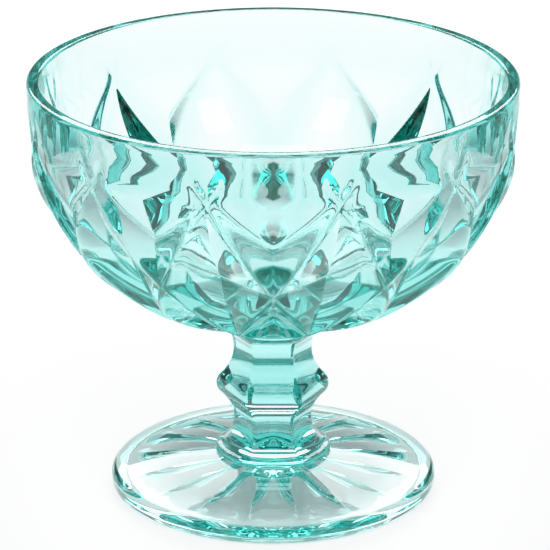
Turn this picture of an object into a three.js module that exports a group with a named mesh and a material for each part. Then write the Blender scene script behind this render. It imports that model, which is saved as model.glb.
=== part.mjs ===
// Dessert glass: a footed coupe of pressed aqua glass.
// A wide bowl with a lattice of raised ridges round sunk diamonds stands on a six-sided
// stem with a knop, and the stem stands on a round foot that is fluted underneath.
// Millimetres, +Z up. The origin is the middle of the plane that the glass stands on.

import * as THREE from 'three';

// Bowl
const rimRadius = 59.2; // outside of the ridges on the upright wall
const uprightWall = 13; // upright stretch of the wall, down from the lip
const roundDepth = 49.5; // fall of the rounded stretch below it
const lipThickness = 3.3; // width of the flat lip
const lipRound = 0.8; // roundness of the lip's two edges
const wallThickness = 6; // ridge to inside, where the rounded stretch starts
const floorThickness = 10; // glass under the middle of the inside
const bossRadius = 11.5; // joint face under the bowl
const bossHeight = 1; // joint face to the lowest point of the rounded stretch
const bossFillet = 2.5; // hollow corner between boss and bowl

// Diamond relief on the outside of the bowl
const diamondCount = 12; // diamonds round the bowl in one row
const diamondDepth = 5.5; // ridge down to the middle of a diamond
const ridgeStep = 0.1; // share of that depth that falls away close to the ridge
const ridgeSharpness = 4; // how close
const diamondRise = 24; // half a diamond's height on the upright wall
const diamondAngle = 29.2; // half a diamond's height on the rounded stretch, in degrees
const plainBand = 6; // smooth glass under the lip
const reliefRunOut = 30; // height over which the diamonds grow shallow towards the plain band
const runOutPower = 1.3; // how late they do so: 1 evenly, more than 1 close to the band
const reliefRunIn = 8; // radius over which the relief fades towards the boss

// Stem, with heights measured up from the foot
const stemLength = 33.2;
const collarRadius = 14.4; // round collar that stands on the foot
const collarHeight = 1.9;
const collarRound = 1; // roundness of the collar's edge
const collarRise = 1; // rise of the collar's hollow top towards the neck
const lowerNeckRadius = 9.6;
const lowerNeckHeight = 9.7;
const knopRadius = 14;
const knopHeight = 17.7;
const knopNose = 1.1; // radial depth of the knop's rounded edge
const knopHalf = 2.5; // half the height of that edge
const knopFlare = 1.05; // slope out to that edge, radius over height
const upperNeckRadius = 9.65;
const upperNeckHeight = 27.2;
const stemSides = 6;
const collarFlats = 0.25; // how far the sides show in the collar, 0 round to 1 flat

// Foot
const footRadius = 40.2;
const footHeight = 8.3; // standing plane to the seat of the stem
const seatMargin = 0.6; // seat beyond the collar's underside
const footEdge = 2.4; // height of the widest point
const footShoulder = 3.2; // width of the rounded top edge
const shoulderHeight = 4.7; // top of that edge, where the dome starts
const domeSwell = 0.4; // rise of the dome over a straight slope
const footHeel = 1.8; // width of the rounded bottom edge
const restWidth = 2; // flat ring that the glass stands on
const footRecess = 1; // underside above the standing plane, next to the ring
const undersideRise = 3.2; // further rise of the underside towards the middle
const fluteCount = 16; // petal-shaped hollows in the underside
const fluteDepth = 1.6;
const fluteStart = 8; // radius where the flutes begin to deepen
const fluteRunIn = 8;
const fluteRunOut = 3.5;

// Fineness of the facets
const columnsPerHalfDiamond = 4;
const columnsPerSide = 8;
const columnsPerFlute = 6;
const curveSteps = 4;
const lipSteps = 3;
const insideSteps = 14;

// Heights in the stack, from the standing plane
const bowlBase = footHeight + stemLength;
const wallStart = bowlBase + bossHeight + roundDepth;
const rimHeight = wallStart + uprightWall;

const radians = THREE.MathUtils.degToRad;
const { smoothstep } = THREE.MathUtils;

const aquaGlass = { color: 0x8fd8cf, roughness: 0.04, metalness: 0, transparent: true, opacity: 0.55 };

/** Turns a profile of (radius, height) points about Z. The first column faces -Y. */
function turned(profile, columns) {
  const geometry = new THREE.LatheGeometry(profile, columns);
  return geometry.rotateX(Math.PI / 2);
}

/** Moves each vertex of a turned body; place(column, station) gives its new radius and height. */
function reshape(geometry, stations, columns, place) {
  const position = geometry.getAttribute('position');
  for (let column = 0; column <= columns; column++) {
    const around = (2 * Math.PI * (column % columns)) / columns;
    for (let station = 0; station < stations; station++) {
      const { radius, height } = place(column % columns, station);
      const vertex = column * stations + station;
      position.setXYZ(vertex, radius * Math.sin(around), -radius * Math.cos(around), height);
    }
  }
  return geometry;
}

/** Names a finished body and gives it glass of its own. */
function glassPiece(name, geometry) {
  geometry.computeVertexNormals();
  const piece = new THREE.Mesh(geometry, new THREE.MeshStandardMaterial(aquaGlass));
  piece.name = name;
  return piece;
}

/** A point of the bowl's smooth outer form at a lattice row, with its outward normal. */
function hullAtRow(row) {
  if (row > 1) {
    return { radius: rimRadius, height: wallStart + (row - 1) * diamondRise, out: 1, up: 0, row };
  }
  const angle = radians((1 - row) * diamondAngle);
  const out = Math.cos(angle) / rimRadius;
  const up = -Math.sin(angle) / roundDepth;
  const length = Math.hypot(out, up);
  return {
    radius: rimRadius * Math.cos(angle),
    height: wallStart - roundDepth * Math.sin(angle),
    out: out / length,
    up: up / length,
    row,
  };
}

/** Where a point lies in its diamond, for each family of ridges: 0 midway, 0.5 on a ridge. */
function inDiamond(halfPitches, row) {
  const rising = (halfPitches - row) / 2;
  const falling = (halfPitches + row) / 2;
  return {
    rising: Math.abs(rising - Math.floor(rising) - 0.5),
    falling: Math.abs(falling - Math.floor(falling) - 0.5),
  };
}

/**
 * Depth of the relief: four facets fall to the middle of each diamond, steepest by the ridges.
 * Towards the band they end on a floor that rises to it, so that each ridge runs out to a point.
 */
function reliefDepth(halfPitches, point) {
  const { rising, falling } = inDiamond(halfPitches, point.row);
  const even = 1 - 2 * Math.max(rising, falling);
  const steep = 1 - (1 - even) ** ridgeSharpness;
  const fall = THREE.MathUtils.lerp(even, steep, ridgeStep);
  const bandEdge = rimHeight - plainBand;
  const floor = (Math.max(bandEdge - point.height, 0) / reliefRunOut) ** runOutPower;
  const bossEdge = bossRadius + bossFillet;
  const outsideBoss = smoothstep(point.radius, bossEdge, bossEdge + reliefRunIn);
  return diamondDepth * Math.min(fall, floor) * outsideBoss;
}

/** Stations of the bowl's section: joint face, up the outside, over the lip and down the inside. */
function bowlSection() {
  const points = [{ radius: 0, height: bowlBase }, { radius: bossRadius, height: bowlBase }];

  const bossAngle = Math.acos((bossRadius + bossFillet) / rimRadius);
  const bossTop = wallStart - roundDepth * Math.sin(bossAngle);
  const corner = new THREE.QuadraticBezierCurve(
    new THREE.Vector2(bossRadius, bowlBase),
    new THREE.Vector2(bossRadius, (bowlBase + bossTop) / 2),
    new THREE.Vector2(bossRadius + bossFillet, bossTop),
  );
  for (const point of corner.getPoints(curveSteps).slice(1)) {
    points.push({ radius: point.x, height: point.y });
  }

  const step = 1 / columnsPerHalfDiamond;
  const lowestRow = 1 - THREE.MathUtils.radToDeg(bossAngle) / diamondAngle;
  const bandEdge = rimHeight - plainBand;
  for (let row = step * Math.ceil((lowestRow + step / 3) / step); ; row += step) {
    const point = hullAtRow(row);
    if (point.height > bandEdge - (step * diamondRise) / 4) break;
    points.push(point);
  }
  points.push({ radius: rimRadius, height: bandEdge });

  const lipEdges = [
    { middle: rimRadius - lipRound, start: 0 },
    { middle: rimRadius - lipThickness + lipRound, start: Math.PI / 2 },
  ];
  for (const { middle, start } of lipEdges) {
    for (let i = 0; i <= lipSteps; i++) {
      const angle = start + (Math.PI / 2) * (i / lipSteps);
      points.push({
        radius: middle + lipRound * Math.cos(angle),
        height: rimHeight - lipRound + lipRound * Math.sin(angle),
      });
    }
  }

  const insideRadius = rimRadius - wallThickness;
  const insideDepth = roundDepth - floorThickness;
  for (let i = 0; i <= insideSteps; i++) {
    const angle = (Math.PI / 2) * (i / insideSteps);
    const radius = i === insideSteps ? 0 : insideRadius * Math.cos(angle);
    points.push({ radius, height: wallStart - insideDepth * Math.sin(angle) });
  }
  return points;
}

/** Splits each square of the relief along the ridges of its facet, which keeps the ridges sharp. */
function followRidges(geometry, section, columns) {
  const stations = section.length;
  const index = [];
  for (let column = 0; column < columns; column++) {
    for (let station = 0; station < stations - 1; station++) {
      const a = column * stations + station;
      const b = a + stations;
      const c = b + 1;
      const d = a + 1;
      const low = section[station].row;
      const high = section[station + 1].row;
      const middle = inDiamond((column + 0.5) / columnsPerHalfDiamond, (low + high) / 2);
      const alongRising = low !== undefined && high !== undefined && middle.rising > middle.falling;
      index.push(...(alongRising ? [a, b, c, a, c, d] : [a, b, d, c, d, b]));
    }
  }
  geometry.setIndex(index);
  return geometry;
}

/** The bowl: smooth inside, flat lip, and the diamond relief sunk into the outside. */
function makeBowl() {
  const section = bowlSection();
  const columns = 2 * diamondCount * columnsPerHalfDiamond;
  const profile = section.map(({ radius, height }) => new THREE.Vector2(radius, height));
  const geometry = turned(profile, columns);
  reshape(geometry, section.length, columns, (column, station) => {
    const point = section[station];
    if (point.row === undefined) return point;
    const depth = reliefDepth(column / columnsPerHalfDiamond, point);
    return { radius: point.radius - depth * point.out, height: point.height - depth * point.up };
  });
  return glassPiece('bowl', followRidges(geometry, section, columns));
}

/** Half section of the stem: collar, lower neck, knop, upper neck and bowl joint. */
function stemSection() {
  const collarInner = collarRadius - collarRound;
  const knopInner = knopRadius - knopNose;
  const knopLow = knopHeight - knopHalf;
  const knopHigh = knopHeight + knopHalf;
  const noseBend = knopNose / knopFlare;
  const lowerBend = knopLow - (knopInner - lowerNeckRadius) / knopFlare;
  const upperBend = knopHigh + (knopInner - upperNeckRadius) / knopFlare;
  const collarBend = collarHeight + collarRise;
  const topMiddle = (upperNeckHeight + stemLength) / 2;
  const section = new THREE.Path();
  section.moveTo(0, 0);
  section.lineTo(collarInner, 0);
  section.quadraticCurveTo(collarRadius, 0, collarRadius, collarHeight / 2);
  section.quadraticCurveTo(collarRadius, collarHeight, collarInner, collarHeight);
  section.quadraticCurveTo(lowerNeckRadius, collarBend, lowerNeckRadius, lowerNeckHeight);
  section.quadraticCurveTo(lowerNeckRadius, lowerBend, knopInner, knopLow);
  section.quadraticCurveTo(knopRadius, knopLow + noseBend, knopRadius, knopHeight);
  section.quadraticCurveTo(knopRadius, knopHigh - noseBend, knopInner, knopHigh);
  section.quadraticCurveTo(upperNeckRadius, upperBend, upperNeckRadius, upperNeckHeight);
  section.quadraticCurveTo(upperNeckRadius, topMiddle, bossRadius, stemLength);
  section.lineTo(0, stemLength);
  return section.getPoints(curveSteps);
}

/** The stem: its section has flat sides, one of them facing -Y, that fade out in the round collar. */
function makeStem() {
  const section = stemSection();
  const columns = stemSides * columnsPerSide;
  const half = Math.PI / stemSides;
  const geometry = turned(section, columns);
  reshape(geometry, section.length, columns, (column, station) => {
    const { x, y } = section[station];
    const offFlat = ((column + columnsPerSide / 2) % columnsPerSide) - columnsPerSide / 2;
    const flat = Math.cos(half) / Math.cos((2 * half * offFlat) / columnsPerSide);
    const strength = THREE.MathUtils.lerp(collarFlats, 1, smoothstep(y, collarHeight, lowerNeckHeight));
    return { radius: x * THREE.MathUtils.lerp(1, flat, strength), height: y };
  });
  const stem = glassPiece('stem', geometry);
  stem.position.z = footHeight;
  return stem;
}

/** Half section of the foot: underside from the middle out, then ring, edge, dome and seat. */
function footSection() {
  const restOuter = footRadius - footHeel;
  const restInner = restOuter - restWidth;
  const seatRadius = collarRadius - collarRound + seatMargin;
  const shoulderRadius = footRadius - footShoulder;
  const domeRadius = (seatRadius + shoulderRadius) / 2;
  const domeHeight = (footHeight + shoulderHeight) / 2 + 2 * domeSwell;
  const underside = [];
  const rings = 2 * curveSteps;
  for (let i = 0; i < rings; i++) {
    const out = i / (rings - 1);
    const height = footRecess + undersideRise * (1 - out ** 2);
    underside.push(new THREE.Vector2((restInner - footRecess) * out, height));
  }
  const outside = new THREE.Path();
  outside.moveTo(restInner, 0);
  outside.lineTo(restOuter, 0);
  outside.quadraticCurveTo(footRadius, 0, footRadius, footEdge);
  outside.quadraticCurveTo(footRadius, shoulderHeight, shoulderRadius, shoulderHeight);
  outside.quadraticCurveTo(domeRadius, domeHeight, seatRadius, footHeight);
  outside.lineTo(0, footHeight);
  return { underside, outside: outside.getPoints(curveSteps) };
}

/** The foot: a shallow dome on a flat standing ring, hollow underneath with petal-shaped flutes. */
function makeFoot() {
  const { underside, outside } = footSection();
  const section = [...underside, ...outside];
  const columns = fluteCount * columnsPerFlute;
  const fluteEnd = underside.at(-1).x;
  const geometry = turned(section, columns);
  reshape(geometry, section.length, columns, (column, station) => {
    const { x, y } = section[station];
    if (station >= underside.length) return { radius: x, height: y };
    const across = Math.abs(Math.cos((Math.PI * column) / columnsPerFlute));
    const deepening = smoothstep(x, fluteStart, fluteStart + fluteRunIn);
    const ending = 1 - smoothstep(x, fluteEnd - fluteRunOut, fluteEnd);
    return { radius: x, height: y + fluteDepth * across * deepening * ending };
  });
  return glassPiece('foot', geometry);
}

const dessertGlass = new THREE.Group();
dessertGlass.add(makeFoot(), makeStem(), makeBowl());

export default dessertGlass;
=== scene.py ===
"""Dessert glass: a footed coupe of pressed aqua glass, dressed for its studio picture.

The bowl, the stem and the foot are each turned from a drawn section and then pressed: the bowl
with its lattice of diamonds, the stem with its flat sides, the foot with the flutes underneath.
Lengths are in metres, +Z is up, and the glass stands on the plane Z = 0.
"""
import logging
import math
from collections.abc import Callable
from dataclasses import dataclass, field
from enum import Enum
from typing import ClassVar

import bpy
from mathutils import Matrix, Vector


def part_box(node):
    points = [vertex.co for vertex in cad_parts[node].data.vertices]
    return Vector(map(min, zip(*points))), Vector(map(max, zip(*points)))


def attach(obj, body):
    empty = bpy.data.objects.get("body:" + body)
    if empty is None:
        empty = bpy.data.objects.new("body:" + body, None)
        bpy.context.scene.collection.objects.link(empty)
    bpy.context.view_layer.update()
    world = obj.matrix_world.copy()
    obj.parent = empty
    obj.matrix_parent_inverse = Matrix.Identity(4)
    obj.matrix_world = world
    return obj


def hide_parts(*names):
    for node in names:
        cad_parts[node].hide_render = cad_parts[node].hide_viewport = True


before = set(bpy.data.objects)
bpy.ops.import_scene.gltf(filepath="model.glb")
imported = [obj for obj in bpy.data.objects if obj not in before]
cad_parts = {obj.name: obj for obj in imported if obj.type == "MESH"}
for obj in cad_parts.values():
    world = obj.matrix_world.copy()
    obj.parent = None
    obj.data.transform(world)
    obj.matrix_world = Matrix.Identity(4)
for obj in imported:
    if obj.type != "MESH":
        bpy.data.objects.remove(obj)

LOG = logging.getLogger("dessert_glass")

MM = 0.001
BODY = "root"
JOINT_MARK = "joint"
JOINT_GAP = 0.03 * MM
WELD = 0.005 * MM
WHITE = (1.0, 1.0, 1.0, 1.0)

Station = tuple[float, float]
Span = tuple[float, float]
Share = Callable[[float, float, float], float]
Tree = bpy.types.NodeTree
Socket = bpy.types.NodeSocket


def smoothstep(value: float, low: float, high: float) -> float:
    """Ease from 0 at low to 1 at high.

    Args:
        value: The number to ease.
        low: Where the ease starts.
        high: Where it ends.

    Returns:
        A number from 0 to 1.
    """
    share = min(max((value - low) / (high - low), 0.0), 1.0)
    return share * share * (3.0 - 2.0 * share)


def soft_min(first: float, second: float, softness: float) -> float:
    """Give the smaller of two numbers, eased where they are nearly the same.

    Args:
        first: One number.
        second: The other number.
        softness: Difference below which the result is eased.

    Returns:
        The eased smaller number, not below 0.
    """
    close = max(softness - abs(first - second), 0.0) / softness
    return max(min(first, second) - close * close * softness / 4.0, 0.0)


def straight(start: Station, end: Station, steps: int) -> list[Station]:
    """Draw a straight stretch of a section.

    Args:
        start: First point, which isn't repeated in the result.
        end: Last point.
        steps: Number of points to draw.

    Returns:
        The points after start, as (radius, height).
    """
    return [
        tuple(a + (b - a) * step / steps for a, b in zip(start, end))
        for step in range(1, steps + 1)
    ]


def bend(start: Station, corner: Station, end: Station, steps: int) -> list[Station]:
    """Draw a curve that leaves start towards corner and reaches end from corner.

    Args:
        start: First point, which isn't repeated in the result.
        corner: Where the two tangents meet.
        end: Last point.
        steps: Number of points to draw.

    Returns:
        The points after start, as (radius, height).
    """
    points = []
    for step in range(1, steps + 1):
        t = step / steps
        weights = ((1 - t) ** 2, 2 * t * (1 - t), t ** 2)
        radius, height = (
            sum(weight * point[axis] for weight, point in zip(weights, (start, corner, end)))
            for axis in (0, 1)
        )
        points.append((radius, height))
    return points


def quarter(middle: Station, reach: Station, start: float, steps: int) -> list[Station]:
    """Draw a quarter of an ellipse.

    Args:
        middle: Its centre.
        reach: Its half width and half height; a half height below 0 draws it downwards.
        start: Angle of its first point.
        steps: Number of steps along it.

    Returns:
        The points, the first one included, as (radius, height).
    """
    angles = [start + math.pi / 2 * step / steps for step in range(steps + 1)]
    return [
        (middle[0] + reach[0] * math.cos(angle), middle[1] + reach[1] * math.sin(angle))
        for angle in angles
    ]


class Mode(Enum):
    """Blender's two ways of working on a mesh."""

    EDIT = "EDIT"
    OBJECT = "OBJECT"


def enter(mode: Mode) -> None:
    """Switch the active object to a mode."""
    bpy.ops.object.mode_set(mode=mode.value)


def turn(name: str, section: list[Station], columns: int) -> bpy.types.Object:
    """Draw a half section point by point and turn it about the upright axis.

    Args:
        name: Name of the new piece.
        section: Points (radius, height) from axis to axis.
        columns: Number of steps round.

    Returns:
        The closed, turned blank.
    """
    bpy.ops.object.select_all(action="DESELECT")
    bpy.ops.mesh.primitive_plane_add(size=MM)
    blank = bpy.context.active_object
    blank.name = name
    blank.data.name = name
    enter(Mode.EDIT)
    bpy.ops.mesh.merge(type="CENTER")
    bpy.ops.transform.translate(value=(section[0][0], 0.0, section[0][1]))
    for (r0, z0), (r1, z1) in zip(section, section[1:]):
        bpy.ops.mesh.extrude_region_move(TRANSFORM_OT_translate={"value": (r1 - r0, 0.0, z1 - z0)})
    enter(Mode.OBJECT)
    lathe = blank.modifiers.new("lathe", "SCREW")
    lathe.axis = "Z"
    lathe.angle = math.tau
    lathe.steps = lathe.render_steps = columns
    lathe.use_merge_vertices = True
    lathe.merge_threshold = WELD
    bpy.ops.object.modifier_apply(modifier=lathe.name)
    enter(Mode.EDIT)
    bpy.ops.mesh.select_all(action="SELECT")
    bpy.ops.mesh.remove_doubles(threshold=WELD)
    bpy.ops.mesh.normals_make_consistent(inside=False)
    enter(Mode.OBJECT)
    return blank


def around(x: float, y: float) -> float:
    """Give the angle of a place round the axis, 0 at the front (-Y) and rising towards +X."""
    return math.atan2(x, -y)


def press(blank: bpy.types.Object, name: str, depth: float, share: Share) -> None:
    """Press a relief into a blank, square to its surface.

    Args:
        blank: The piece to press.
        name: Name of the relief.
        depth: Deepest place of the relief; below 0 it stands proud.
        share: Gives the share of the depth, 0 to 1, at (radius, angle, height).
    """
    group = blank.vertex_groups.new(name=name)
    for vertex in blank.data.vertices:
        x, y, z = vertex.co
        weight = share(math.hypot(x, y), around(x, y), z)
        if weight > 0.0:
            group.add([vertex.index], weight, "REPLACE")
    die = blank.modifiers.new(name, "DISPLACE")
    die.strength = -depth
    die.mid_level = 0.0
    die.vertex_group = name
    bpy.ops.object.modifier_apply(modifier=die.name)
    blank.vertex_groups.clear()


def mark_joints(piece: bpy.types.Object, joints: list[Station]) -> None:
    """Mark the faces where a piece is fused to its neighbour.

    Args:
        piece: The finished piece.
        joints: Each joint disc as (radius, height).
    """
    mesh = piece.data
    marks = [0.0] * len(mesh.polygons)
    for face in mesh.polygons:
        places = [mesh.vertices[index].co for index in face.vertices]
        for radius, height in joints:
            reach = radius + JOINT_GAP
            if all(abs(p.z - height) < JOINT_GAP / 2 and math.hypot(p.x, p.y) < reach for p in places):
                marks[face.index] = 1.0
    layer = mesh.attributes.new(JOINT_MARK, "FLOAT", "FACE")
    layer.data.foreach_set("value", marks)


class Ease(Enum):
    """How a value changes from one end to the other."""

    EVEN = "LINEAR"
    SOFT = "SMOOTHSTEP"


class Sum(Enum):
    """What a maths node does with its values."""

    MINUS = "SUBTRACT"
    TIMES = "MULTIPLY"
    TIMES_PLUS = "MULTIPLY_ADD"
    LARGER = "MAXIMUM"
    UNSIGNED = "ABSOLUTE"


def change_over(tree: Tree, ease: Ease, source: Socket, ends: Span, span: Span = (0.0, 1.0)) -> Socket:
    """Add a value that changes from one end to the other while its source passes a span.

    Args:
        tree: Node tree that gets the value.
        ease: How the value changes.
        source: Value that drives the change.
        ends: The value before and after the span.
        span: Where the change starts and ends.

    Returns:
        The changing value.
    """
    node = tree.nodes.new("ShaderNodeMapRange")
    node.interpolation_type = ease.value
    node.inputs["From Min"].default_value, node.inputs["From Max"].default_value = span
    node.inputs["To Min"].default_value, node.inputs["To Max"].default_value = ends
    tree.links.new(source, node.inputs["Value"])
    return node.outputs["Result"]


def combine(tree: Tree, kind: Sum, *values: Socket | float) -> Socket:
    """Add a maths node.

    Args:
        tree: Node tree that gets the node.
        kind: What the node does.
        values: What it works on, each another node's output or a fixed number.

    Returns:
        The result.
    """
    node = tree.nodes.new("ShaderNodeMath")
    node.operation = kind.value
    for slot, value in zip(node.inputs, values):
        if isinstance(value, float):
            slot.default_value = value
        else:
            tree.links.new(value, slot)
    return node.outputs["Value"]


def clouds(tree: Tree, place: Socket, scale: float, detail: float) -> Socket:
    """Add a cloudy pattern.

    Args:
        tree: Node tree that gets the pattern.
        place: Where on the piece it is read.
        scale: Fineness of the clouds.
        detail: How much finer structure they hold.

    Returns:
        The pattern's value, around 0.5.
    """
    node = tree.nodes.new("ShaderNodeTexNoise")
    node.inputs["Scale"].default_value = scale
    node.inputs["Detail"].default_value = detail
    tree.links.new(place, node.inputs["Vector"])
    return node.outputs["Fac"]


@dataclass(frozen=True)
class FirePolish:
    """Skin of pressed glass that was smoothed in the flame: faint ripples and faint haze."""

    ripple_scale: float = 90.0
    ripple_detail: float = 1.0
    ripple_stretch: float = 0.35
    haze_scale: float = 240.0
    haze_detail: float = 3.0
    haze_span: Span = (0.45, 0.8)
    haze: Span = (0.0, 0.035)

    def group(self) -> Tree:
        """Build the node group.

        Returns:
            A group with the outputs Roughness and Ripple, which change over the surface.
        """
        tree = bpy.data.node_groups.new("fire_polish", "ShaderNodeTree")
        for output in ("Roughness", "Ripple"):
            tree.interface.new_socket(output, in_out="OUTPUT", socket_type="NodeSocketFloat")
        place = tree.nodes.new("ShaderNodeTexCoord").outputs["Object"]
        drawn = tree.nodes.new("ShaderNodeMapping")
        drawn.inputs["Scale"].default_value = (1.0, 1.0, self.ripple_stretch)
        tree.links.new(place, drawn.inputs["Vector"])
        ripple = clouds(tree, drawn.outputs["Vector"], self.ripple_scale, self.ripple_detail)
        haze = clouds(tree, place, self.haze_scale, self.haze_detail)
        out = tree.nodes.new("NodeGroupOutput")
        tree.links.new(change_over(tree, Ease.EVEN, haze, self.haze, self.haze_span), out.inputs["Roughness"])
        tree.links.new(ripple, out.inputs["Ripple"])
        return tree


@dataclass(frozen=True)
class AquaGlass:
    """Clear glass tinted aqua all through, so that it darkens with its thickness."""

    tint: tuple[float, float, float, float] = (0.2, 0.86, 0.83, 1.0)
    density: float = 60.0
    ior: float = 1.52
    ripple_height: float = 0.1 * MM
    ripple_strength: float = 0.05
    polish: FirePolish = FirePolish()

    def material(self) -> bpy.types.Material:
        """Build the material.

        Returns:
            Glass with a polished skin, a tint inside, and nothing to see at the fused joints.
        """
        glass = bpy.data.materials.new("aqua_glass")
        glass.use_nodes = True
        nodes, links = glass.node_tree.nodes, glass.node_tree.links
        surface = nodes["Principled BSDF"]
        surface.inputs["Base Color"].default_value = WHITE
        surface.inputs["Transmission Weight"].default_value = 1.0
        surface.inputs["IOR"].default_value = self.ior
        skin = nodes.new("ShaderNodeGroup")
        skin.node_tree = self.polish.group()
        bump = nodes.new("ShaderNodeBump")
        bump.inputs["Strength"].default_value = self.ripple_strength
        bump.inputs["Distance"].default_value = self.ripple_height
        links.new(skin.outputs["Roughness"], surface.inputs["Roughness"])
        links.new(skin.outputs["Ripple"], bump.inputs["Height"])
        links.new(bump.outputs["Normal"], surface.inputs["Normal"])
        joint = nodes.new("ShaderNodeAttribute")
        joint.attribute_name = JOINT_MARK
        solid = combine(glass.node_tree, Sum.MINUS, 1.0, joint.outputs["Fac"])
        links.new(solid, surface.inputs["Alpha"])
        inside = nodes.new("ShaderNodeVolumeAbsorption")
        inside.inputs["Color"].default_value = self.tint
        inside.inputs["Density"].default_value = self.density
        links.new(inside.outputs["Volume"], nodes["Material Output"].inputs["Volume"])
        return glass


@dataclass(frozen=True)
class DiamondLattice:
    """Ridges that cross round the bowl, with a diamond of four facets sunk between them."""

    count: int = 12
    depth: float = 5.5 * MM
    rise: float = 24.0 * MM
    angle: float = math.radians(29.2)
    ridge_softness: float = 0.07
    ridge_step: float = 0.1
    ridge_sharpness: float = 4.0

    def share(self, angle: float, row: float) -> float:
        """Give the share of the depth at a place.

        Args:
            angle: Angle round the bowl, 0 at the front.
            row: Row of the lattice; a ridge crossing lies at the front in row 0.

        Returns:
            0 on a ridge, 1 in the middle of a diamond.
        """
        column = angle * self.count / math.pi
        near = min(
            1.0 - 2.0 * abs((column + way * row) / 2 % 1.0 - 0.5)
            for way in (1, -1)
        )
        soft = self.ridge_softness
        rounded = (math.hypot(near, soft) - soft) / (math.hypot(1.0, soft) - soft)
        steep = 1.0 - (1.0 - rounded) ** self.ridge_sharpness
        return rounded + self.ridge_step * (steep - rounded)


@dataclass(frozen=True)
class MouldSeams:
    """Fine upright ridges that the joints of the mould leave, evenly spaced round the glass."""

    height: float
    width: float = 0.35 * MM
    count: int = 3
    angle: float = math.radians(30)

    def share(self, radius: float, angle: float) -> float:
        """Give the share of the height at a place.

        Args:
            radius: Distance from the axis.
            angle: Angle round the glass, 0 at the front.

        Returns:
            1 on top of a seam, falling to 0 beside it.
        """
        pitch = math.tau / self.count
        off = (angle - self.angle + pitch / 2) % pitch - pitch / 2
        return math.exp(-((off * radius / self.width) ** 2))


@dataclass
class Member:
    """One member of the glass, turned and pressed, that stands for one node of the frame."""

    node: ClassVar[str]
    name: ClassVar[str]
    columns: ClassVar[int]

    finish: bpy.types.Material
    low: float = field(init=False)
    high: float = field(init=False)
    reach: float = field(init=False)
    smooth_angle: float = math.radians(35)

    def __post_init__(self) -> None:
        """Take the height and the reach from the frame."""
        lowest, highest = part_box(self.node)
        self.low, self.high, self.reach = lowest.z, highest.z, highest.x

    def section(self) -> list[Station]:
        """Give the half section from axis to axis."""
        raise NotImplementedError

    def shape(self, blank: bpy.types.Object) -> None:
        """Press the member's relief into its blank."""
        raise NotImplementedError

    def joints(self) -> list[Station]:
        """Give the discs where the member is fused to its neighbours."""
        raise NotImplementedError

    def build(self) -> bpy.types.Object:
        """Make the member and put it in its node's place.

        Returns:
            The finished piece.
        """
        piece = turn(self.name, self.section(), self.columns)
        self.shape(piece)
        mark_joints(piece, self.joints())
        bpy.ops.object.shade_smooth_by_angle(angle=self.smooth_angle)
        piece.data.materials.append(self.finish)
        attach(piece, BODY)
        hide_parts(self.node)
        triangles = sum(len(face.vertices) - 2 for face in piece.data.polygons)
        LOG.info("%s: %d triangles", piece.name, triangles)
        return piece


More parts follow.
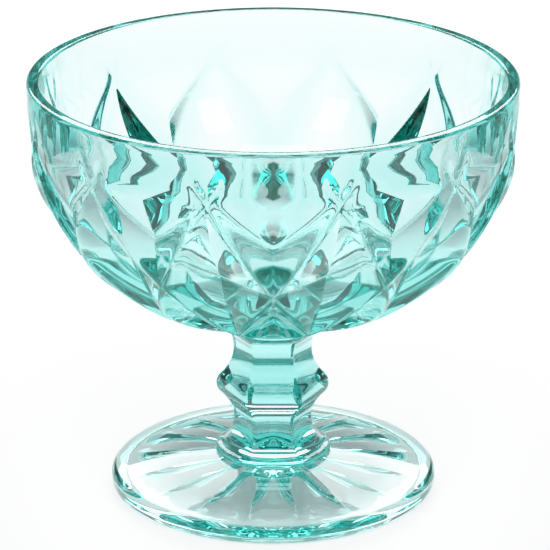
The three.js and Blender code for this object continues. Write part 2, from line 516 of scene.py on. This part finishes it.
@dataclass
class Bowl(Member):
    """The bowl: smooth inside, flat lip with soft edges, diamonds pressed into the outside."""

    node: ClassVar[str] = "bowl"
    name: ClassVar[str] = "pressed_bowl"
    columns: ClassVar[int] = 576

    upright_wall: float = 13.0 * MM
    lip_thickness: float = 3.3 * MM
    lip_round: float = 0.8 * MM
    lip_steps: int = 12
    wall_thickness: float = 6.0 * MM
    floor_thickness: float = 10.0 * MM
    inside_steps: int = 40
    boss_radius: float = 11.5 * MM
    boss_height: float = 1.0 * MM
    boss_fillet: float = 2.5 * MM
    plain_band: float = 6.0 * MM
    relief_run_out: float = 30.0 * MM
    run_out_power: float = 1.3
    crease_softness: float = 0.08
    relief_run_in: float = 8.0 * MM
    rows_per_diamond: int = 24
    lattice: DiamondLattice = DiamondLattice()

    @property
    def wall_start(self) -> float:
        """Height where the rounded stretch ends and the upright wall starts."""
        return self.high - self.upright_wall

    @property
    def round_depth(self) -> float:
        """Fall of the rounded stretch."""
        return self.wall_start - self.low - self.boss_height

    @property
    def band_edge(self) -> float:
        """Height where the plain band under the lip starts."""
        return self.high - self.plain_band

    @property
    def boss_edge(self) -> float:
        """Radius where the fillet of the boss meets the rounded stretch."""
        return self.boss_radius + self.boss_fillet

    @property
    def boss_angle(self) -> float:
        """Angle on the rounded stretch where the boss begins."""
        return math.acos(self.boss_edge / self.reach)

    def hull(self, row: float) -> Station:
        """Give the outside without relief.

        Args:
            row: Row of the lattice, 1 where the upright wall starts.

        Returns:
            The outside there, as (radius, height).
        """
        if row > 1.0:
            return self.reach, self.wall_start + (row - 1.0) * self.lattice.rise
        angle = (1.0 - row) * self.lattice.angle
        return self.reach * math.cos(angle), self.wall_start - self.round_depth * math.sin(angle)

    def row(self, height: float) -> float:
        """Give the row of the lattice at a height.

        Args:
            height: Height of a place on the outside.

        Returns:
            The row, 1 where the upright wall starts.
        """
        if height > self.wall_start:
            return 1.0 + (height - self.wall_start) / self.lattice.rise
        fall = min((self.wall_start - height) / self.round_depth, 1.0)
        return 1.0 - math.asin(fall) / self.lattice.angle

    def outside(self) -> list[Station]:
        """Draw the joint face, the boss and the outside below the plain band.

        Returns:
            Points (radius, height) from the axis upwards.
        """
        boss_top = self.wall_start - self.round_depth * math.sin(self.boss_angle)
        points = [(0.0, self.low)]
        points += straight(points[-1], (self.boss_radius, self.low), steps=6)
        corner = (self.boss_radius, (self.low + boss_top) / 2)
        points += bend(points[-1], corner, (self.boss_edge, boss_top), steps=8)
        step = 1.0 / self.rows_per_diamond
        first = math.ceil((1.0 - self.boss_angle / self.lattice.angle) / step) + 1
        last = math.floor(self.row(self.band_edge) / step)
        points += [self.hull(index * step) for index in range(first, last)]
        return points

    def lip(self, start: Station) -> list[Station]:
        """Draw the plain band and the flat lip with its two soft edges.

        Args:
            start: Last point of the outside.

        Returns:
            Points (radius, height) after start.
        """
        soft = self.lip_round
        outer = self.reach - soft
        inner = self.reach - self.lip_thickness + soft
        points = [start]
        for middle, angle in ((outer, 0.0), (inner, math.pi / 2)):
            edge = quarter((middle, self.high - soft), (soft, soft), angle, self.lip_steps)
            points += straight(points[-1], edge[0], steps=4)
            points += edge[1:]
        return points[1:]

    def inside(self, start: Station) -> list[Station]:
        """Draw the inside wall and the rounded floor.

        Args:
            start: Last point of the lip.

        Returns:
            Points (radius, height) after start, down to the axis.
        """
        radius = self.reach - self.wall_thickness
        depth = self.round_depth - self.floor_thickness
        points = straight(start, (radius, self.wall_start), steps=6)
        points += quarter((0.0, self.wall_start), (radius, -depth), 0.0, self.inside_steps)[1:]
        points[-1] = (0.0, points[-1][1])
        return points

    def section(self) -> list[Station]:
        """Give the half section: joint face, outside, lip and inside.

        Returns:
            Points (radius, height) from axis to axis.
        """
        points = self.outside()
        points += self.lip(points[-1])
        points += self.inside(points[-1])
        return points

    def relief(self, radius: float, angle: float, height: float) -> float:
        """Give the share of the diamonds' depth at a place of the blank.

        Args:
            radius: Distance from the axis.
            angle: Angle round the bowl, 0 at the front.
            height: Height of the place.

        Returns:
            0 on the inside, the boss, the ridges and the plain band, up to 1 in a diamond.
        """
        row = self.row(height)
        if radius < self.hull(row)[0] - self.lip_thickness / 2 or radius < self.boss_edge:
            return 0.0
        below = max(self.band_edge - height, 0.0) / self.relief_run_out
        sunk = soft_min(self.lattice.share(angle, row), below ** self.run_out_power, self.crease_softness)
        return sunk * smoothstep(radius, self.boss_edge, self.boss_edge + self.relief_run_in)

    def shape(self, blank: bpy.types.Object) -> None:
        """Press the diamonds."""
        press(blank, "diamonds", self.lattice.depth, self.relief)

    def joints(self) -> list[Station]:
        """Give the joint disc under the bowl."""
        return [(self.boss_radius, self.low)]


@dataclass
class Stem(Member):
    """The stem: round collar, two necks and a knop between them, with flat sides."""

    node: ClassVar[str] = "stem"
    name: ClassVar[str] = "knopped_stem"
    columns: ClassVar[int] = 240

    top_radius: float = 11.5 * MM
    collar_height: float = 1.9 * MM
    collar_round: float = 1.0 * MM
    collar_rise: float = 1.0 * MM
    lower_neck: Station = (9.6 * MM, 9.7 * MM)
    knop: Station = (14.0 * MM, 17.7 * MM)
    knop_round: Station = (1.1 * MM, 2.5 * MM)
    flare: float = 1.05
    upper_neck: Station = (9.65 * MM, 27.2 * MM)
    sides: int = 6
    side_softness: float = 36.0
    collar_flats: float = 0.25
    top_fade: float = 2.0 * MM
    seams: MouldSeams = MouldSeams(height=0.28 * MM)

    def section(self) -> list[Station]:
        """Give the half section: collar, lower neck, knop, upper neck and top.

        Returns:
            Points (radius, height) from axis to axis.
        """
        foot, top = self.low + JOINT_GAP, self.high - JOINT_GAP
        collar = self.low + self.collar_height
        collar_inner = self.reach - self.collar_round
        knop_radius, knop = self.knop[0], self.low + self.knop[1]
        knop_inner = knop_radius - self.knop_round[0]
        low_radius, low = self.lower_neck[0], self.low + self.lower_neck[1]
        high_radius, high = self.upper_neck[0], self.low + self.upper_neck[1]
        below, above = (knop + way * self.knop_round[1] for way in (-1, 1))
        tip = self.knop_round[0] / self.flare
        low_bend = below - (knop_inner - low_radius) / self.flare
        high_bend = above + (knop_inner - high_radius) / self.flare
        points = [(0.0, foot)]
        points += straight(points[-1], (collar_inner, foot), steps=6)
        points += bend(points[-1], (self.reach, foot), (self.reach, (foot + collar) / 2), steps=8)
        points += bend(points[-1], (self.reach, collar), (collar_inner, collar), steps=8)
        points += bend(points[-1], (low_radius, collar + self.collar_rise), (low_radius, low), steps=16)
        points += bend(points[-1], (low_radius, low_bend), (knop_inner, below), steps=16)
        points += bend(points[-1], (knop_radius, below + tip), (knop_radius, knop), steps=6)
        points += bend(points[-1], (knop_radius, above - tip), (knop_inner, above), steps=6)
        points += bend(points[-1], (high_radius, high_bend), (high_radius, high), steps=18)
        points += bend(points[-1], (high_radius, (high + top) / 2), (self.top_radius, top), steps=12)
        points += straight(points[-1], (0.0, top), steps=6)
        return points

    def side(self, angle: float) -> float:
        """Give the outline of the stem's soft-edged polygon.

        Args:
            angle: Angle round the stem, 0 in the middle of the front side.

        Returns:
            The radius there, as a share of the corner radius.
        """
        half = math.pi / self.sides
        power = self.side_softness
        flats = (math.cos(angle - 2 * half * index) for index in range(self.sides))
        return math.cos(half) / sum(max(0.0, flat) ** power for flat in flats) ** (1 / power)

    def flatness(self, height: float) -> float:
        """Give how flat the sides are.

        Args:
            height: Height of the place.

        Returns:
            0 where the stem is round, 1 where its sides are flat.
        """
        rise = height - self.low
        out_of_collar = smoothstep(rise, self.collar_height, self.lower_neck[1])
        flat = self.collar_flats + (1.0 - self.collar_flats) * out_of_collar
        under_bowl = 1.0 - smoothstep(height, self.high - self.top_fade, self.high - JOINT_GAP)
        on_foot = smoothstep(rise, JOINT_GAP, self.collar_height / 2)
        return flat * under_bowl * on_foot

    def shape(self, blank: bpy.types.Object) -> None:
        """Press the flat sides, which move straight in, and leave the mould seams proud.

        Args:
            blank: The turned stem.
        """
        for vertex in blank.data.vertices:
            radius = math.hypot(vertex.co.x, vertex.co.y)
            if radius == 0.0:
                continue
            angle = around(vertex.co.x, vertex.co.y)
            flat = self.flatness(vertex.co.z)
            proud = self.seams.height * self.seams.share(radius, angle)
            factor = 1.0 + flat * (self.side(angle) - 1.0)
            factor += flat * proud / radius
            vertex.co.x *= factor
            vertex.co.y *= factor

    def joints(self) -> list[Station]:
        """Give the joint discs on the foot and under the bowl."""
        on_foot = (self.reach - self.collar_round, self.low + JOINT_GAP)
        return [on_foot, (self.top_radius, self.high - JOINT_GAP)]


@dataclass
class Foot(Member):
    """The foot: a shallow dome with a flat standing ring and flutes in the underside."""

    node: ClassVar[str] = "foot"
    name: ClassVar[str] = "fluted_foot"
    columns: ClassVar[int] = 384

    joint_radius: float = 13.4 * MM
    seat_margin: float = 0.6 * MM
    edge_height: float = 2.4 * MM
    shoulder: Station = (3.2 * MM, 4.7 * MM)
    dome_swell: float = 0.4 * MM
    heel: float = 1.8 * MM
    rest_width: float = 2.0 * MM
    recess: float = 1.0 * MM
    underside_rise: float = 3.2 * MM
    underside_steps: int = 40
    flute_count: int = 16
    flute_depth: float = 1.4 * MM
    flute_start: float = 8.0 * MM
    flute_run_in: float = 8.0 * MM
    flute_run_out: float = 12.0 * MM
    seams: MouldSeams = MouldSeams(height=0.36 * MM)
    seam_fade: Span = (22.0 * MM, 34.0 * MM)

    @property
    def seat(self) -> float:
        """Radius where the dome ends at the flat seat of the stem."""
        return self.joint_radius + self.seat_margin

    @property
    def flute_end(self) -> float:
        """Radius where the flutes and the recess end."""
        return self.reach - self.heel - self.rest_width - self.recess

    def underside(self, radius: float) -> float:
        """Give the height of the hollow underside at a radius, without its flutes."""
        return self.recess + self.underside_rise * (1.0 - (radius / self.flute_end) ** 2)

    def section(self) -> list[Station]:
        """Give the half section: underside, standing ring, edge, dome and seat.

        Returns:
            Points (radius, height) from axis to axis.
        """
        rest_outer = self.reach - self.heel
        rest_inner = rest_outer - self.rest_width
        shoulder = (self.reach - self.shoulder[0], self.shoulder[1])
        crown = ((self.seat + shoulder[0]) / 2, (self.high + shoulder[1]) / 2 + 2 * self.dome_swell)
        radii = [self.flute_end * index / self.underside_steps for index in range(self.underside_steps + 1)]
        points = [(radius, self.underside(radius)) for radius in radii]
        points += bend(points[-1], (rest_inner, self.recess), (rest_inner, 0.0), steps=6)
        points += straight(points[-1], (rest_outer, 0.0), steps=2)
        points += bend(points[-1], (self.reach, 0.0), (self.reach, self.edge_height), steps=10)
        points += bend(points[-1], (self.reach, shoulder[1]), shoulder, steps=10)
        points += bend(points[-1], crown, (self.seat, self.high), steps=24)
        points += straight(points[-1], (self.joint_radius, self.high), steps=2)
        points += straight(points[-1], (0.0, self.high), steps=6)
        return points

    def flute(self, radius: float, angle: float, height: float) -> float:
        """Give the share of the flutes' depth at a place of the blank.

        Args:
            radius: Distance from the axis.
            angle: Angle round the foot, 0 at the front.
            height: Height of the place.

        Returns:
            0 on the top and between two flutes, up to 1 in a flute.
        """
        if radius > self.flute_end or height > self.underside(radius) + self.recess:
            return 0.0
        across = abs(math.cos(angle * self.flute_count / 2))
        start = smoothstep(radius, self.flute_start, self.flute_start + self.flute_run_in)
        end = 1.0 - smoothstep(radius, self.flute_end - self.flute_run_out, self.flute_end)
        return across * start * end

    def seam(self, radius: float, angle: float, height: float) -> float:
        """Give the share of the mould seams' height at a place of the blank.

        Args:
            radius: Distance from the axis.
            angle: Angle round the foot, 0 at the front.
            height: Height of the place.

        Returns:
            0 beside the seams and on the underside, up to 1 on a seam of the dome.
        """
        if radius < self.seat or height < self.shoulder[1]:
            return 0.0
        fade = 1.0 - smoothstep(radius, *self.seam_fade)
        return fade * self.seams.share(radius, angle)

    def shape(self, blank: bpy.types.Object) -> None:
        """Press the flutes and leave the mould seams proud."""
        press(blank, "flutes", self.flute_depth, self.flute)
        press(blank, "seams", -self.seams.height, self.seam)

    def joints(self) -> list[Station]:
        """Give the joint disc under the collar."""
        return [(self.joint_radius, self.high)]


@dataclass(frozen=True)
class LightTable:
    """White table whose glow holds a painted pool of light round the glass that widens to the back, with
    painted shade at the sides, in front and under the glass.
    """

    width: float = 8.0
    drop: float = 0.2 * MM
    albedo: float = 0.72
    roughness: float = 0.9
    mottle: float = 0.015
    mottle_scale: float = 3.0
    mottle_detail: float = 2.0
    # Strength of the painted light in the table, and of its painted shade
    glow: float = 1.15
    shade: float = 0.05
    sides: Span = (45.0 * MM, 160.0 * MM)
    widening: float = 0.3
    front: Span = (-260.0 * MM, -40.0 * MM)
    back: Span = (200.0 * MM, 500.0 * MM)
    # Painted shadow under the glass: the glow is dimmed inside this distance from the axis
    middle: Span = (22.0 * MM, 38.0 * MM)
    painted_shadow_share: float = 0.3

    def white(self, tree: Tree, place: Socket) -> Socket:
        """Add the table's own white, which is faintly mottled.

        Args:
            tree: Node tree of the table's paint.
            place: Where on the table it is read.

        Returns:
            The tone of the white.
        """
        pattern = clouds(tree, place, self.mottle_scale, self.mottle_detail)
        return change_over(tree, Ease.EVEN, pattern, (self.albedo - self.mottle, self.albedo + self.mottle))

    def light(self, tree: Tree, place: Socket) -> Socket:
        """Add the painted light in the table: a painted pool of light round the glass, painted shadow under
        it, and all of the back lit.

        Args:
            tree: Node tree of the table's paint.
            place: Where on the table it is read.

        Returns:
            The strength of the light.
        """
        split = tree.nodes.new("ShaderNodeSeparateXYZ")
        tree.links.new(place, split.inputs["Vector"])
        across, along = split.outputs["X"], split.outputs["Y"]
        away = tree.nodes.new("ShaderNodeVectorMath")
        away.operation = "LENGTH"
        tree.links.new(place, away.inputs[0])
        aside = combine(tree, Sum.TIMES_PLUS, along, -self.widening, combine(tree, Sum.UNSIGNED, across))
        pool = change_over(tree, Ease.SOFT, aside, (1.0, 0.0), self.sides)
        ahead = change_over(tree, Ease.SOFT, along, (0.0, 1.0), self.front)
        # Painted shadow: the glow falls off under the foot of the glass
        below = change_over(tree, Ease.SOFT, away.outputs["Value"], (self.painted_shadow_share, 1.0), self.middle)
        behind = change_over(tree, Ease.SOFT, along, (0.0, 1.0), self.back)
        near = combine(tree, Sum.TIMES, combine(tree, Sum.TIMES, pool, ahead), below)
        lit = combine(tree, Sum.LARGER, near, behind)
        return change_over(tree, Ease.EVEN, lit, (self.shade, self.glow))

    def paint(self) -> bpy.types.Material:
        """Build the table's material.

        Returns:
            Matt white with a painted pool of light and painted shade glowing in it.
        """
        paint = bpy.data.materials.new("white_table_painted_light")
        paint.use_nodes = True
        tree = paint.node_tree
        surface = tree.nodes["Principled BSDF"]
        place = tree.nodes.new("ShaderNodeTexCoord").outputs["Object"]
        tree.links.new(self.white(tree, place), surface.inputs["Base Color"])
        # The emission carries the painted pool of light and the painted shade
        tree.links.new(self.light(tree, place), surface.inputs["Emission Strength"])
        surface.inputs["Roughness"].default_value = self.roughness
        surface.inputs["Specular IOR Level"].default_value = 0.0
        surface.inputs["Emission Color"].default_value = WHITE
        return paint

    def build(self) -> bpy.types.Object:
        """Make the table top.

        Returns:
            The table top.
        """
        bpy.ops.object.select_all(action="DESELECT")
        bpy.ops.mesh.primitive_plane_add(size=self.width, location=(0, 0, -self.drop))
        table = bpy.context.active_object
        table.name = "light_table"
        bpy.ops.object.transform_apply(location=True, rotation=False, scale=False)
        table.data.materials.append(self.paint())
        return table


@dataclass(frozen=True)
class Studio:
    """Soft white room: bright horizon, darker band, bright ceiling, dimmer on the viewer's side."""

    horizon: float = 2.0
    band: float = 0.28
    zenith: float = 0.8
    band_low: float = 0.02
    band_high: float = 0.8
    softness: float = 0.15
    viewer_share: float = 0.2
    viewer_edge: Span = (-0.4, 0.3)

    def build(self) -> None:
        """Make the room's light."""
        world = bpy.data.worlds.new("studio")
        bpy.context.scene.world = world
        world.use_nodes = True
        nodes, links = world.node_tree.nodes, world.node_tree.links
        place = nodes.new("ShaderNodeTexCoord")
        split = nodes.new("ShaderNodeSeparateXYZ")
        links.new(place.outputs["Generated"], split.inputs["Vector"])
        ramp = nodes.new("ShaderNodeValToRGB")
        ramp.color_ramp.interpolation = "EASE"
        stops = ramp.color_ramp.elements
        tones = [
            (0.0, self.horizon),
            (self.band_low, self.horizon),
            (self.band_low + self.softness, self.band),
            (self.band_high, self.band),
            (min(self.band_high + self.softness, 1.0), self.zenith),
        ]
        while len(stops) < len(tones):
            stops.new(1.0)
        for stop, (position, tone) in zip(stops, tones):
            stop.position = position
            stop.color = (tone, tone, tone, 1.0)
        links.new(split.outputs["Z"], ramp.inputs["Fac"])
        ends = (self.viewer_share, 1.0)
        side = change_over(world.node_tree, Ease.SOFT, split.outputs["Y"], ends, self.viewer_edge)
        links.new(ramp.outputs["Color"], nodes["Background"].inputs["Color"])
        links.new(side, nodes["Background"].inputs["Strength"])


@dataclass(frozen=True)
class SoftBox:
    """Large soft lamp, turned to the glass, that draws highlights along edges and ridges."""

    bearing: float
    height: float = math.radians(32)
    distance: float = 1.2
    size: tuple[float, float] = (0.30, 0.60)
    power: float = 3.0

    def build(self) -> bpy.types.Object:
        """Make the lamp.

        Returns:
            The lamp, turned to the glass.
        """
        data = bpy.data.lights.new("softbox", "AREA")
        data.shape = "RECTANGLE"
        data.size, data.size_y = self.size
        data.energy = self.power
        lamp = bpy.data.objects.new("softbox", data)
        flat, rise = self.distance * math.cos(self.height), self.distance * math.sin(self.height)
        lamp.location = (flat * math.sin(self.bearing), -flat * math.cos(self.bearing), rise)
        lamp.rotation_euler = (math.pi / 2 - self.height, 0.0, self.bearing)
        bpy.context.scene.collection.objects.link(lamp)
        return lamp


@dataclass(frozen=True)
class PhotoCamera:
    """Camera at the photograph's viewing angle."""

    place: tuple[float, float, float] = (0.0, -0.8426, 0.3709)
    look_down: float = math.radians(20.6)
    lens: float = 241.0
    sensor: float = 36.0
    shift_x: float = 0.0032

    def build(self) -> bpy.types.Object:
        """Make the camera and use it.

        Returns:
            The camera.
        """
        data = bpy.data.cameras.new("photo_camera")
        data.lens = self.lens
        data.sensor_width = self.sensor
        data.shift_x = self.shift_x
        camera = bpy.data.objects.new("photo_camera", data)
        camera.location = self.place
        camera.rotation_euler = (math.pi / 2 - self.look_down, 0.0, 0.0)
        bpy.context.scene.collection.objects.link(camera)
        bpy.context.scene.camera = camera
        return camera


@dataclass(frozen=True)
class Picture:
    """How light becomes the picture: bright places roll off softly to white."""

    white_level: float = 2.3
    tones: tuple[Span, ...] = ((0.12, 0.19), (0.3, 0.43), (0.5, 0.67), (0.67, 0.9), (0.8, 0.985))
    passes: int = 24
    mirror_passes: int = 16

    def apply(self) -> None:
        """Set the curve of tones, and let light pass through many walls of glass."""
        scene = bpy.context.scene
        scene.view_settings.view_transform = "Standard"
        scene.view_settings.use_curve_mapping = True
        mapping = scene.view_settings.curve_mapping
        mapping.white_level = (self.white_level,) * 3
        # The last curve, after those of red, green and blue, acts on all three
        all_colours = mapping.curves[-1]
        for tone in self.tones:
            all_colours.points.new(*tone)
        mapping.update()
        scene.cycles.max_bounces = self.passes
        scene.cycles.transmission_bounces = self.passes
        scene.cycles.transparent_max_bounces = self.passes
        scene.cycles.glossy_bounces = self.mirror_passes


# Two lamps beside the viewer, one behind the glass and one above it
LAMPS = (
    SoftBox(bearing=math.radians(-36)),
    SoftBox(bearing=math.radians(36)),
    SoftBox(bearing=math.pi, height=math.radians(35), size=(0.9, 0.5), power=10.0),
    SoftBox(bearing=0.0, height=math.radians(75), size=(0.6, 0.6), power=5.0),
)


def main() -> None:
    """Build the glass, the table, the light and the camera."""
    logging.basicConfig(level=logging.INFO, format="%(name)s: %(message)s")
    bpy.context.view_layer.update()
    PhotoCamera().build()
    glass = AquaGlass().material()
    for member in (Bowl(glass), Stem(glass), Foot(glass)):
        member.build()
    for surroundings in (LightTable(), Studio(), *LAMPS):
        surroundings.build()
    Picture().apply()


if __name__ == "__main__":
    main()
